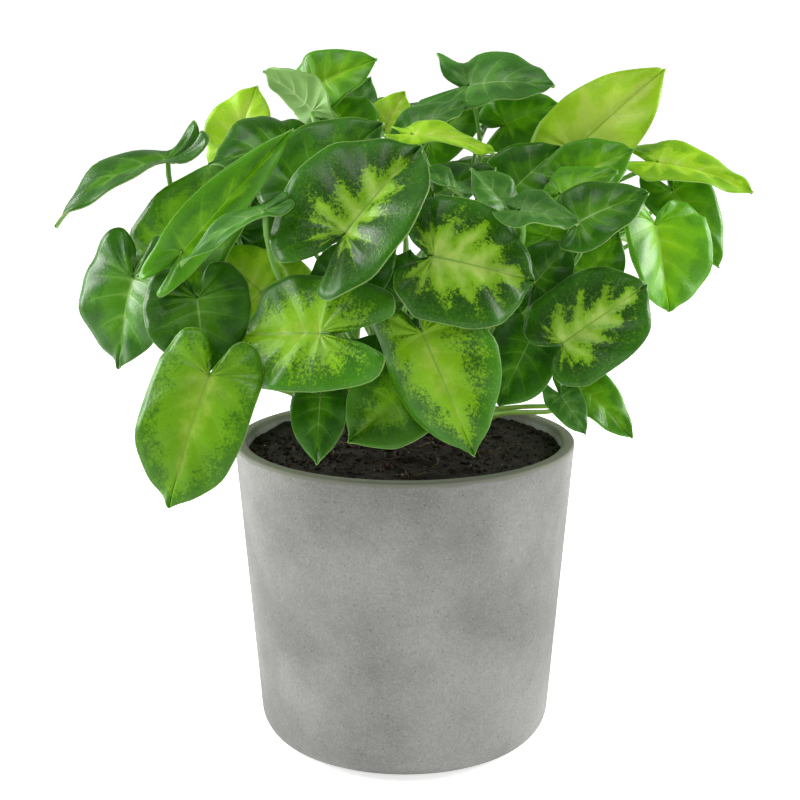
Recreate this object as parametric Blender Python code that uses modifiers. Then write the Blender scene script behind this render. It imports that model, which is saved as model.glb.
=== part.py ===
"""Arrowhead plant growing in a round concrete pot: pot, potting soil, six shoots and their leaf blades.

Dimensions are in millimetres and become metres where the meshes are made. The origin is the middle of
the pot's underside, +Z is up and -Y is the side with the big variegated leaves.
"""

from collections import namedtuple
from math import acos, atan2, cos, pi, radians, sin, tan

import bmesh
import bpy
from mathutils import Vector

MM = 0.001
SEAT = 0.3  # gap kept where two pieces touch

POT_HEIGHT = 127.6
POT_TOP_RADIUS = 70.0
POT_FOOT_RADIUS = 59.3  # where the straight wall would meet the table without its rounding
POT_WALL = 5.0
POT_FLOOR = 7.0
FOOT_ROUNDING = 14.0
INNER_ROUNDING = 10.0
RIM_ROUNDING = 0.9
TURN_STEPS = 48
SOIL_TOP = 123.5

STEM_RADIUS = 2.6
STEM_ABOVE_LAST_LEAF = 4.0
FIRST_LEAF_HEIGHT = 4.0  # above the soil
LEAF_SPACING = 2.2  # from one leaf's stalk to the next, up the stem
STALK_BASE_RADIUS = 1.5
STALK_TIP_RADIUS = 0.85
STALK_POINTS = 9
STALK_TIP_GAP = 0.75  # from the stalk's end to the middle of its blade

BLADE_THICKNESS = 0.7
BLADE_ROWS = 8
BLADE_COLUMNS = 2  # on each side of the midrib
MIDRIB_END = 0.47  # share of the outline fed by the midrib; the rest spreads from the stalk point
RIPPLE_HEIGHT = 1.5
RIPPLE_WAVES = 3
SIDE_PHASE = 1.7  # the two margins ripple out of step
WAIST_SPAN = 0.14  # how far the waist reaches along the outline, each way from its middle

LEAF_GREEN = (0.06, 0.19, 0.03)
STALK_GREEN = (0.20, 0.33, 0.06)
CONCRETE_GREY = (0.33, 0.33, 0.31)
SOIL_BROWN = (0.015, 0.011, 0.008)

# Half of the blade's outline from its tip round a basal lobe to the stalk: the share of the half width,
# and the share of the midrib's length in front of the stalk or of the lobe's length behind it.
OUTLINE = (
    (0.0, 1.0),
    (0.13, 0.93),
    (0.46, 0.79),
    (0.80, 0.57),
    (0.97, 0.31),
    (1.0, 0.05),
    (0.92, -0.38),
    (0.68, -0.90),
    (0.38, -0.97),
    (0.15, -0.60),
    (0.03, -0.18),
    (0.0, 0.0),
)

# stalk: where the stalk meets the blade; tip: the blade's point; face: where its upper side looks.
# lobe: length of the basal lobes against the midrib; full: how far the width is carried to the tip.
# arch: bend along the midrib in degrees; cup, curl and lift: rise of each half at the midrib, its
# curl over its width and the raising of its lobe, in degrees, right half first as seen from the tip.
# waist: how far each half draws in just behind the stalk.
# bow: how far the stalk bends aside, east and north; lean: how it meets the blade.
Leaf = namedtuple(
    "Leaf",
    "name stalk tip width face lobe full arch cup curl lift waist bow lean",
    defaults=(0.35, 0.0, 30, (15, 15), (20, 20), (0, 0), (0, 0), (0, 0), 0.1),
)
FRONT = (0, -0.9, 0.45)
UP_AND_FRONT = (0, -0.45, 0.9)

# Each shoot: where its stem stands on the soil, and its leaves from the lowest to the highest stalk.
SHOOTS = {
    "front": (-6, -18, (
        Leaf("low_left_dark", (-32, -64, 160), (-33, -74, 136), 22, (-0.1, -0.95, 0.2), lobe=0.3,
             lean=-0.5),
        Leaf("low_centre_olive", (-1, -72, 162), (-21, -80, 146), 34, (0, -0.9, 0.4), lobe=0.55),
        Leaf("front_left_star", (-31, -78, 187), (-63, -52, 180), 46, (0.1, -0.9, 0.45), lobe=0.72,
             full=0.5, arch=25, cup=(10, 10)),
        Leaf("front_centre_drip", (6, -86, 189), (25, -90, 144), 48, (0.1, -0.95, 0.25), lobe=0.36, arch=26,
             cup=(10, -15), curl=(10, 62), lift=(0, 10), waist=(0.3, 0.2), bow=(0, 8), lean=-0.5),
        Leaf("centre_behind_dark", (-25, -30, 197), (-3, -26, 211), 28, FRONT, lobe=0.4, lean=0.6),
        Leaf("front_right_round", (10, -80, 216), (47, -72, 205), 49, (0, -0.85, 0.5), lobe=0.33, full=0.8,
             arch=20, cup=(8, 8)),
        Leaf("centre_variegated", (-22, -70, 223), (6, -58, 253), 61, (-0.1, -0.85, 0.5), lobe=0.55,
             full=0.2, arch=25, cup=(5, 45)),
        Leaf("centre_right_grey_low", (42, -68, 231), (63, -72, 226), 22, UP_AND_FRONT, lobe=0.4,
             lean=-0.5),
        Leaf("upper_centre_dark", (-39, -42, 235), (-8, -40, 260), 40, (0, -0.8, 0.6), lobe=0.4,
             bow=(0, 8)),
        Leaf("upper_lime_fold", (3, -32, 255), (34, -38, 248), 20, (0, -0.3, 0.95), lobe=0.3, lean=1.2),
    )),
    "right": (27, -9, (
        Leaf("low_right_grey", (60, -50, 157), (69, -55, 143), 14, FRONT, lobe=0.4, lean=-0.5),
        Leaf("low_right_bright", (69, -40, 158), (88, -46, 139), 20, (0.3, -0.8, 0.5), lobe=0.4, lean=-0.5),
        Leaf("right_dark_folded", (48, -40, 176), (36, -52, 153), 29, (0, -0.8, 0.6), lobe=0.3, full=0.5),
        Leaf("right_front_dark", (59, -62, 180), (91, -55, 201), 38, (0.2, -0.85, 0.45), lobe=0.25,
             full=0.9, arch=20, bow=(8, 8), lean=-0.5),
        Leaf("right_centre_small", (72, -22, 198), (84, -20, 216), 24, FRONT, lobe=0.4, lean=-0.5),
        Leaf("behind_front_right", (49, -48, 200), (63, -46, 216), 24, FRONT, lobe=0.4, lean=-0.5),
        Leaf("right_hanging_bright", (97, -28, 220), (102, -36, 187), 44, (0.25, -0.9, 0.2), lobe=0.25,
             full=0.6, cup=(5, 45)),
        Leaf("right_dark_veined", (65, -50, 224), (92, -45, 234), 27, (0.1, -0.7, 0.7), lean=-0.5),
        Leaf("right_bright_lower", (60, -28, 232), (82, -28, 240), 22, UP_AND_FRONT, lean=-0.5),
        Leaf("right_bright_upper", (66, -12, 236), (90, -10, 247), 26, FRONT, lean=-0.5),
    )),
    "left": (-31, -13, (
        Leaf("lower_left_hanging", (-73, -72, 170), (-88, -80, 121), 44, (-0.2, -0.9, 0.35), lobe=0.3,
             full=0.5, cup=(12, 5)),
        Leaf("left_bright_strip", (-61, -46, 182), (-67, -50, 161), 16, FRONT),
        Leaf("left_centre_yellow", (-57, -20, 192), (-76, -18, 209), 28, FRONT, lobe=0.4, lean=-0.5),
        Leaf("left_dark_veined", (-79, -50, 195), (-75, -58, 167), 42, (-0.1, -0.9, 0.4), lobe=0.43,
             arch=20),
        Leaf("far_left_lower", (-107, -22, 198), (-113, -24, 162), 48, (-0.4, -0.85, 0.35), lobe=0.5,
             cup=(25, 5)),
        Leaf("left_big_pale", (-92, -20, 204), (-57, -16, 245), 46, (-0.3, -0.8, 0.5), lobe=0.28, arch=20),
        Leaf("left_bright_folded", (-84, -50, 213), (-42, -42, 258), 22, (0.3, -0.7, 0.7), lobe=0.3,
             arch=15, cup=(30, 30), waist=(0.1, 0.1), lean=1.2),
        Leaf("left_long_narrow", (-52, -64, 230), (-83, -68, 210), 14, (0.3, -0.2, 0.95), lobe=0.3,
             lean=-0.5),
    )),
    "back_left": (-24, 22, (
        Leaf("back_left_low", (-60, 52, 180), (-92, 92, 148), 50, (-0.4, 0.6, 0.6), lobe=0.38, lean=-0.5),
        Leaf("back_left_high", (-45, 42, 232), (-88, 82, 220), 50, (-0.3, 0.5, 0.8), lobe=0.38, lean=0.6),
        Leaf("far_left_drooping", (-95, 0, 242), (-139, -10, 216), 32, (-0.35, -0.3, 0.9), lobe=0.4,
             arch=50, lift=(70, 70), waist=(0.3, 0.3), lean=-0.5),
        Leaf("upper_left_lime", (-69, 20, 245), (-60, 26, 269), 32, (-0.3, -0.8, 0.5), lobe=0.4,
             waist=(0.15, 0), bow=(8, 0), lean=0.6),
        Leaf("top_grey_green", (-23, 32, 253), (-14, 36, 272), 20, FRONT, lobe=0.4, bow=(8, 0), lean=-0.5),
        Leaf("back_centre_high", (-4, 54, 258), (-12, 102, 240), 42, (0, 0.6, 0.8), lobe=0.38, lean=-0.5),
    )),
    "centre": (-3, 2, (
        Leaf("back_centre_low", (2, 62, 190), (8, 110, 156), 50, (0, 0.7, 0.6), lobe=0.38, lean=-0.5),
        Leaf("mid_left_dark", (-55, -2, 212), (-69, 2, 232), 34, FRONT, bow=(0, 8), lean=-0.5),
        Leaf("centre_right_grey", (37, -54, 230), (24, -50, 244), 20, UP_AND_FRONT, lobe=0.4, lean=-0.5),
        Leaf("centre_small_dark", (11, -30, 231), (35, -28, 241), 28, UP_AND_FRONT, lobe=0.4, lean=-0.5),
        Leaf("top_mid_behind", (10, 30, 247), (34, 36, 263), 26, FRONT, lean=-0.5),
        Leaf("upper_left_glossy", (-45, -14, 248), (-76, -22, 242), 38, (-0.2, -0.6, 0.8), lobe=0.3,
             lean=-0.5),
        Leaf("top_grey_fold", (2, 0, 252), (25, 5, 264), 22, UP_AND_FRONT, lean=-0.5),
        Leaf("top_small_lime", (-8, 20, 253), (0, 24, 267), 18, FRONT, bow=(16, 8), lean=0.6),
        Leaf("top_left_underside", (-36, -8, 262), (-56, -2, 277), 26, (0, 0.7, 0.7), lobe=0.4, lean=1.2),
        Leaf("top_bright", (-36, 10, 270), (-11, 6, 281), 28, (0, -0.8, 0.6), lobe=0.4, lean=-0.5),
    )),
    "back_right": (24, 22, (
        Leaf("back_right_low", (60, 56, 184), (92, 92, 150), 50, (0.4, 0.6, 0.6), lobe=0.38, lean=-0.5),
        Leaf("right_hanging_behind", (108, 4, 229), (126, -4, 199), 28, (0.3, -0.85, 0.3)),
        Leaf("right_centre_dark", (43, -2, 230), (62, 2, 247), 30, FRONT, lobe=0.4, lean=-0.5),
        Leaf("back_right_high", (42, 48, 236), (82, 94, 222), 50, (0.2, 0.5, 0.85), lobe=0.38, lean=-0.5),
        Leaf("far_right_pale", (101, 0, 241), (139, -5, 229), 26, (0.25, -0.5, 0.8), bow=(0, 16), lean=1.2),
        Leaf("right_top_lime", (68, 8, 245), (105, 14, 277), 36, (0.2, -0.8, 0.55), lean=-0.5),
        Leaf("below_top_right", (41, 22, 254), (63, 24, 262), 26, FRONT, lobe=0.4, lean=1.2),
        Leaf("top_right_centre", (26, 20, 270), (60, 10, 270), 36, (0.1, -0.6, 0.8), lobe=0.55,
             lift=(85, 0), waist=(0.2, 0), bow=(-8, 0), lean=-0.5),
    )),
}


def clear_scene():
    for obj in list(bpy.data.objects):
        bpy.data.objects.remove(obj)


def new_collection(name):
    collection = bpy.data.collections.new(name)
    bpy.context.scene.collection.children.link(collection)
    return collection


def finish(obj, colour, roughness):
    """Give the object its own material and smooth shading."""
    material = bpy.data.materials.new(f"{obj.name}_finish")
    material.use_nodes = True
    shader = material.node_tree.nodes["Principled BSDF"]
    shader.inputs["Base Color"].default_value = (*colour, 1)
    shader.inputs["Roughness"].default_value = roughness
    shader.inputs["Metallic"].default_value = 0
    obj.data.materials.append(material)
    obj.data.shade_smooth()


def arc_points(centre, radius, start, end, count):
    """Points on an arc in the profile plane, angles in radians."""
    steps = (start + (end - start) * k / (count - 1) for k in range(count))
    return [(centre[0] + radius * cos(a), centre[1] + radius * sin(a)) for a in steps]


def turned(name, profile, collection):
    """Turn a profile of (radius, height) points about the upright axis."""
    mesh = bpy.data.meshes.new(name)
    bm = bmesh.new()
    points = [bm.verts.new((r * MM, 0, z * MM)) for r, z in profile]
    for first, second in zip(points, points[1:]):
        bm.edges.new((first, second))
    bm.to_mesh(mesh)
    bm.free()
    obj = bpy.data.objects.new(name, mesh)
    collection.objects.link(obj)
    screw = obj.modifiers.new("turn", "SCREW")
    screw.steps = screw.render_steps = TURN_STEPS
    screw.use_merge_vertices = True
    screw.merge_threshold = 0.00001
    return obj


WALL_TILT = atan2(POT_TOP_RADIUS - POT_FOOT_RADIUS, POT_HEIGHT)


def wall_radius(height, inset=0.0):
    """Radius of the pot's side at a height, or of a wall that lies inside it by inset."""
    return POT_FOOT_RADIUS + height * tan(WALL_TILT) - inset / cos(WALL_TILT)


def foot_arc(floor, inset, rounding, count):
    """The rounding between a floor and the wall inside the pot's side by inset, from the wall down."""
    centre_height = floor + rounding
    centre = (wall_radius(centre_height, inset + rounding), centre_height)
    return arc_points(centre, rounding, -WALL_TILT, -pi / 2, count)


def make_pot(collection):
    inner = foot_arc(POT_FLOOR, POT_WALL, INNER_ROUNDING, 4)[::-1]
    top = POT_HEIGHT - RIM_ROUNDING
    inner_rim = (wall_radius(top, POT_WALL) + RIM_ROUNDING, top)
    outer_rim = (wall_radius(top) - RIM_ROUNDING, top)
    profile = [(0, POT_FLOOR)] + inner
    profile += arc_points(inner_rim, RIM_ROUNDING, pi, pi / 2, 3)
    profile += arc_points(outer_rim, RIM_ROUNDING, pi / 2, -WALL_TILT, 3)
    profile += foot_arc(0, 0, FOOT_ROUNDING, 6)
    profile += [(0, 0)]
    finish(turned("pot", profile, collection), CONCRETE_GREY, 0.8)


def make_soil(collection):
    inset = POT_WALL + SEAT
    profile = [(0, SOIL_TOP), (wall_radius(SOIL_TOP, inset), SOIL_TOP)]
    profile += foot_arc(POT_FLOOR + SEAT, inset, INNER_ROUNDING, 4)
    profile += [(0, POT_FLOOR + SEAT)]
    finish(turned("potting_soil", profile, collection), SOIL_BROWN, 0.95)


def arc_end(length, start, bend):
    """Run and rise of an arc of that length, which sets out at slope start and turns down by bend."""
    if abs(length) < 1e-9 or abs(bend) < 1e-4:
        return length * cos(start), length * sin(start)
    turn = bend / length
    return (sin(start) - sin(start - bend)) / turn, (cos(start - bend) - cos(start)) / turn


def outline_at(share):
    """A point of the smooth curve through the outline's points."""
    last = len(OUTLINE) - 1
    place = share * last
    first = min(int(place), last - 1)
    f = place - first
    before, a, b, after = (Vector(OUTLINE[max(0, min(last, first + k))]) for k in (-1, 0, 1, 2))
    return 0.5 * (
        2 * a + (b - before) * f + (2 * before - 5 * a + 4 * b - after) * f**2
        + (3 * a - before - 3 * b + after) * f**3
    )


def blade_axes(leaf):
    """The blade's stalk point, and its unit vectors along the midrib, out of its upper side and across."""
    stalk = Vector(leaf.stalk)
    along = (Vector(leaf.tip) - stalk).normalized()
    face = Vector(leaf.face)
    out = (face - face.dot(along) * along).normalized()
    return stalk, along, out, along.cross(out)


def blade_point(leaf, share, across):
    """Where the blade's surface is: share runs round the outline from the tip, across is -1 to 1."""
    stalk, along, out, side_way = blade_axes(leaf)
    side = 0 if across < 0 else 1
    reach = abs(across)
    chord = (Vector(leaf.tip) - stalk).length
    arch = radians(leaf.arch)
    length = chord * (arch / 2) / sin(arch / 2)
    lobe = leaf.lobe * length
    edge_across, edge_along = outline_at(share)
    if edge_along > 0:
        edge_along = length * edge_along ** (1 / (1 + leaf.full))
    else:
        edge_along *= lobe
    half_width = leaf.width / 2
    b = max(0, 1 - share / MIDRIB_END) * length * (1 - reach) + reach * edge_along
    from_waist = min(1, abs(share - 0.5) / WAIST_SPAN)
    a = reach * edge_across * half_width * (1 - leaf.waist[side] * (0.5 + 0.5 * cos(pi * from_waist)))
    lift = radians(leaf.lift[side])
    if b >= 0:
        run, rise = arc_end(b, arch / 2, arch * b / length)
        slope = arch / 2 - arch * b / length
    else:
        run, rise = arc_end(-b, arch / 2, lift * -b / lobe)
        run, rise = -run, -rise
        slope = arch / 2 - lift * -b / lobe
    upward = cos(slope) * out - sin(slope) * along
    sideways, rise_aside = arc_end(a, radians(leaf.cup[side]), radians(leaf.curl[side]) * a / half_width)
    rise_aside += RIPPLE_HEIGHT * reach**2 * sin(2 * pi * RIPPLE_WAVES * share + side * SIDE_PHASE)
    sign = -1 if across < 0 else 1
    return stalk + run * along + rise * out + sign * sideways * side_way + rise_aside * upward


def make_blade(leaf, collection):
    bm = bmesh.new()
    bmesh.ops.create_grid(bm, x_segments=BLADE_ROWS, y_segments=2 * BLADE_COLUMNS, size=1)
    for vert in bm.verts:
        vert.co = blade_point(leaf, (vert.co.x + 1) / 2, vert.co.y) * MM
    bmesh.ops.remove_doubles(bm, verts=bm.verts, dist=0.000001)
    bmesh.ops.triangulate(bm, faces=bm.faces)
    name = f"leaf_{leaf.name}"
    mesh = bpy.data.meshes.new(name)
    bm.to_mesh(mesh)
    bm.free()
    blade = bpy.data.objects.new(name, mesh)
    collection.objects.link(blade)
    wall = blade.modifiers.new("thickness", "SOLIDIFY")
    wall.thickness = BLADE_THICKNESS * MM
    wall.offset = 0
    finish(blade, LEAF_GREEN, 0.4)


def stalk_route(leaf, foot):
    """Points of a leaf's stalk, from its foot in the stem to the underside of the blade."""
    joint, along, out, _ = blade_axes(leaf)
    arrival = (0.8 * out + leaf.lean * along + Vector((0, 0, 0.35))).normalized()
    slant = acos(max(-1, min(1, arrival.dot(out))))
    end = joint - out * (STALK_TIP_GAP + STALK_TIP_RADIUS * sin(slant))
    span = (end - foot).length
    outward = Vector((end.x - foot.x, end.y - foot.y, 0))
    bow = Vector((*leaf.bow, 0))
    rise = foot + Vector((0, 0, 0.42 * span)) + 0.12 * outward + 0.5 * bow
    bend = end - 0.34 * span * arrival + bow
    points = []
    for k in range(STALK_POINTS):
        t = k / (STALK_POINTS - 1)
        u = 1 - t
        points.append(u**3 * foot + 3 * u * u * t * rise + 3 * u * t * t * bend + t**3 * end)
    return points


def tube(name, points, radii, bevel_resolution, collection):
    """A closed mesh tube along the points, made from a bevelled curve."""
    data = bpy.data.curves.new(name, "CURVE")
    data.dimensions = "3D"
    data.bevel_depth = MM
    data.bevel_resolution = bevel_resolution
    data.use_fill_caps = True
    spline = data.splines.new("POLY")
    spline.points.add(len(points) - 1)
    for target, point, radius in zip(spline.points, points, radii):
        target.co = (*(point * MM), 1)
        target.radius = radius
    curve = bpy.data.objects.new(f"{name}_curve", data)
    collection.objects.link(curve)
    graph = bpy.context.evaluated_depsgraph_get()
    mesh = bpy.data.meshes.new_from_object(curve.evaluated_get(graph))
    bm = bmesh.new()
    bm.from_mesh(mesh)
    bmesh.ops.remove_doubles(bm, verts=bm.verts, dist=0.000001)
    bmesh.ops.recalc_face_normals(bm, faces=bm.faces)
    bm.to_mesh(mesh)
    bm.free()
    obj = bpy.data.objects.new(name, mesh)
    obj.matrix_world = curve.matrix_world
    collection.objects.link(obj)
    bpy.data.objects.remove(curve)
    return obj


def make_shoot(name, x, y, leaves, plant, helpers):
    """A short stem with the stalks of its leaves, joined in one body."""
    foot = Vector((x, y, SOIL_TOP + SEAT))
    first = SOIL_TOP + FIRST_LEAF_HEIGHT
    height = FIRST_LEAF_HEIGHT + LEAF_SPACING * len(leaves) + STEM_ABOVE_LAST_LEAF - SEAT
    up = Vector((0, 0, height))
    stem_radii = (STEM_RADIUS, 0.95 * STEM_RADIUS, 0.7 * STEM_RADIUS)
    stem = tube(f"stalks_{name}", [foot, foot + up / 2, foot + up], stem_radii, 2, plant)
    own_helpers = bpy.data.collections.new(f"stalks_of_{name}")
    own_helpers.hide_render = True
    helpers.children.link(own_helpers)
    radii = [
        STALK_BASE_RADIUS + (STALK_TIP_RADIUS - STALK_BASE_RADIUS) * k / (STALK_POINTS - 1)
        for k in range(STALK_POINTS)
    ]
    for order, leaf in enumerate(leaves):
        spring = Vector((x, y, first + LEAF_SPACING * order))
        stalk = tube(f"stalk_of_{leaf.name}", stalk_route(leaf, spring), radii, 1, own_helpers)
        stalk.hide_render = True
        stalk.display_type = "WIRE"
    union = stem.modifiers.new("join stalks", "BOOLEAN")
    union.operation = "UNION"
    union.operand_type = "COLLECTION"
    union.collection = own_helpers
    union.solver = "EXACT"
    finish(stem, STALK_GREEN, 0.45)


def main():
    clear_scene()
    plant = new_collection("arrowhead_plant")
    helpers = new_collection("helpers")
    helpers.hide_render = True
    make_pot(plant)
    make_soil(plant)
    for name, (x, y, leaves) in SHOOTS.items():
        make_shoot(name, x, y, leaves, plant, helpers)
        for leaf in leaves:
            make_blade(leaf, plant)


main()
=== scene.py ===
"""Looks of an arrowhead plant in a round concrete pot, built round its CAD frame.

Sizes are in millimetres unless a comment says otherwise, and become metres where pieces are made.
"""

import random
from collections import namedtuple
from functools import partial
from math import acos, atan2, cos, exp, log, pi, radians, sin, tan

import bmesh
import bpy
from mathutils import Matrix, Vector, noise


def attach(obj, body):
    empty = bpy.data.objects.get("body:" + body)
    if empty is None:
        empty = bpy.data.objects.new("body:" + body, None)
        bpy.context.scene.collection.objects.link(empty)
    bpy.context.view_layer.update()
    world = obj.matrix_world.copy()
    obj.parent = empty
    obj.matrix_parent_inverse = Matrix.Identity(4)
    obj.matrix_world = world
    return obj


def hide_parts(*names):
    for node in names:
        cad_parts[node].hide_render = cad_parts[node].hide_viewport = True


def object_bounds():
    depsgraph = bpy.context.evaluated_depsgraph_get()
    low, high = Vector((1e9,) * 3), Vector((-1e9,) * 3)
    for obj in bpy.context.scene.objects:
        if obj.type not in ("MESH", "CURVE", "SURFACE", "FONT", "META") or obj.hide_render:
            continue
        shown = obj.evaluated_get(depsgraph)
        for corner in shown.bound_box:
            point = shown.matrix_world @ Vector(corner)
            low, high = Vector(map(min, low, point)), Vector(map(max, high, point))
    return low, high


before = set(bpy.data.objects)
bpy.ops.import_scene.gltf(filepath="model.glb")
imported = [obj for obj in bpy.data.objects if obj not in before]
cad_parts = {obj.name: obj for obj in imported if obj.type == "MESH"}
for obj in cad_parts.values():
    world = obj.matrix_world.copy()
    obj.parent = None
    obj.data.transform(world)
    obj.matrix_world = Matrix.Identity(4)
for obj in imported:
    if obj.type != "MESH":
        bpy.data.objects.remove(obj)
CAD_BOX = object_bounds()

bl_info = {
    "name": "Arrowhead Plant",
    "version": (1, 0, 0),
    "blender": (4, 5, 0),
    "location": "3D View > Sidebar > Arrowhead Plant",
    "description": "Makes the leaves, stalks, soil, pot and studio of a potted arrowhead plant",
    "category": "Add Mesh",
}

MM = 0.001
MERGE_DISTANCE = 0.001 * MM

POT_HEIGHT = 127.6
POT_TOP_RADIUS = 70.0
POT_FOOT_RADIUS = 59.3  # where the straight wall would meet the table without its rounding
POT_WALL = 5.0
POT_FLOOR = 7.0
WALL_TILT = atan2(POT_TOP_RADIUS - POT_FOOT_RADIUS, POT_HEIGHT)
FOOT_ROUNDING = 14.0
INNER_ROUNDING = 10.0
WALL_STEPS = 12
FOOT_POINTS = 12
INNER_POINTS = 6
RIM_POINTS = 5
UNEVEN_DEPTH = 0.12  # how far the sanding went into the wall in places
UNEVEN_PER_METRE = 60

SOIL_TOP = 123.5
SOIL_GAP = 0.3
SOIL_RINGS = 70
SOIL_RELIEF = ((1.3, 0.07), (1.0, 0.22), (0.6, 0.55))  # heights, each with its waves per millimetre
LUMP_MARGIN = 1.5  # kept free of lumps at the pot's wall
LUMP_FLATNESS = 0.6  # height against the longest width
LUMP_RISE = 0.2  # of the middle above the soil, as a share of half the longest width
GRAIN_COUNT = 30
BARK_COUNT = 70
ROOTLET_COUNT = 26
ROOTLET_MARGIN = 12  # from the wall to where the nearest one starts
ROOTLET_POINTS = (6, 12)
ROOTLET_STEP = 1.3  # from point to point
ROOTLET_TURN = 0.6  # radians at most at each point
ROOTLET_RISES = (0.2, 0.9)  # above the soil
ROOTLET_RADII = (0.12, 0.3)

STEM_DEPTH = 2.0  # how far it goes into the soil
STEM_TAPER = 0.35
STEM_STEPS = 24
SCARS = 6  # rings that old leaves left on a stem
SCAR_HEIGHT = 0.35
SCAR_WIDTH = 0.12  # to each side, as a share of the space from one to the next
STEM_ABOVE_LAST_LEAF = 4.0
FIRST_LEAF_HEIGHT = 4.0  # above the soil
LEAF_SPACING = 2.2  # from one leaf's stalk to the next, up the stem
STALK_POINTS = 26
START_UPWARD = 0.42  # how far a stalk heads up from its foot, as a share of its span
START_OUTWARD = 0.12  # how far it heads outwards there, as a share of how far out it goes
END_STRAIGHT = 0.34  # how far before its blade it turns to it, as a share of its span
END_SQUARE = 0.8  # how much its end points along the blade's normal
END_UPWARD = 0.35  # how much its end points up
STALK_WIDTH = 1.05  # radius of the stalk alone at its foot, and the radii below, for a stalk of 1 mm
STALK_TAPER = 0.15
SHEATH_WIDTH = 1.7  # added to the radius at the foot
SHEATH_SHARE = 0.4  # of the stalk's length
KNEE_WIDTH = 0.25
KNEE_PLACE = 0.95
KNEE_SHARE = 0.07
STALK_TIP_RADIUS = 0.85
STALK_TIP_GAP = 0.35  # from the stalk's end to the middle of its blade

MIDRIB_END = 0.47  # share of the outline fed by the midrib; the rest spreads from the stalk point
SIDE_VEINS = 9.0  # in each half
VEIN_SLANT = 1.4  # over 1, side veins leave the midrib nearer the stalk and sweep towards the tip
VEIN_SWEEP = 1.3  # over 1, they turn further towards the tip as they near the edge
RIPPLE_HEIGHT = 1.5
RIPPLE_WAVES = 3
SIDE_PHASE = 1.7  # the two margins ripple out of step
WAIST_SPAN = 0.14  # how far the waist reaches along the outline, each way from its middle
USUAL_HALF_WIDTH = 22.0  # of a blade with the next three heights; on others they grow with the width
SWELL_HEIGHT = 0.9  # of the skin between two side veins
CHANNEL_DEPTH = 0.5  # along the midrib
RUFFLE_HEIGHT = 0.7  # at the very edge
CHANNEL_WIDTH = 1.6
RUFFLE_WAVES = 7
TONE_RANGE = 0.08  # how much lighter or darker a leaf may be than its colouring says
BOX_INSET = 0.4  # half a blade's thickness and a little more
BOX_EASE = 1.2  # how gently a blade is held back from the faces of the object's box

PHOTO_WIDTH = 800  # pixels
FOCAL_LENGTH = 1947  # pixels of the photograph
SENSOR_WIDTH = 36.0
AIM_ASIDE = -1.97
AIM_HEIGHT = 143.5
FLOOR_HALF_WIDTH = 60  # metres
SOFTBOX_WIDTH = 0.6  # metres
SOFTBOX_AIM = (0, 0, 0.18)  # metres
SOFTBOXES = (  # place in metres, and watts
    ("Left softbox", (-1.1, 0.35, 0.55), 19),
    ("Right softbox", (1.1, 0.35, 0.5), 18),
    ("Top softbox", (-0.25, -0.45, 1.35), 9),
)

# Half of the blade's outline from its tip round a basal lobe to the stalk: the share of the half width,
# and the share of the midrib's length in front of the stalk or of the lobe's length behind it.
OUTLINE = (
    (0.0, 1.0), (0.13, 0.93), (0.46, 0.79), (0.80, 0.57), (0.97, 0.31), (1.0, 0.05),
    (0.92, -0.38), (0.68, -0.90), (0.38, -0.97), (0.15, -0.60), (0.03, -0.18), (0.0, 0.0),
)

# stalk: where the stalk meets the blade; tip: the blade's point; face: where its upper side looks.
# finish: its colouring; pale: how far from the midrib its light centre reaches, against the half width.
# lobe: length of the basal lobes against the midrib; full: how far the width is carried to the tip.
# arch: bend along the midrib in degrees; cup, curl and lift: rise of each half at the midrib, its
# curl over its width and the raising of its lobe, in degrees, right half first as seen from the tip.
# waist: how far each half draws in just behind the stalk.
# bow: how far the stalk bends aside, east and north; lean: how it meets the blade.
Leaf = namedtuple(
    "Leaf",
    "name stalk tip width face finish pale lobe full arch cup curl lift waist bow lean",
    defaults=(0.38, 0.0, 30, (15, 15), (20, 20), (0, 0), (0, 0), (0, 0), -0.5),
)
FRONT = (0, -0.9, 0.45)
UP_AND_FRONT = (0, -0.45, 0.9)

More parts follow.
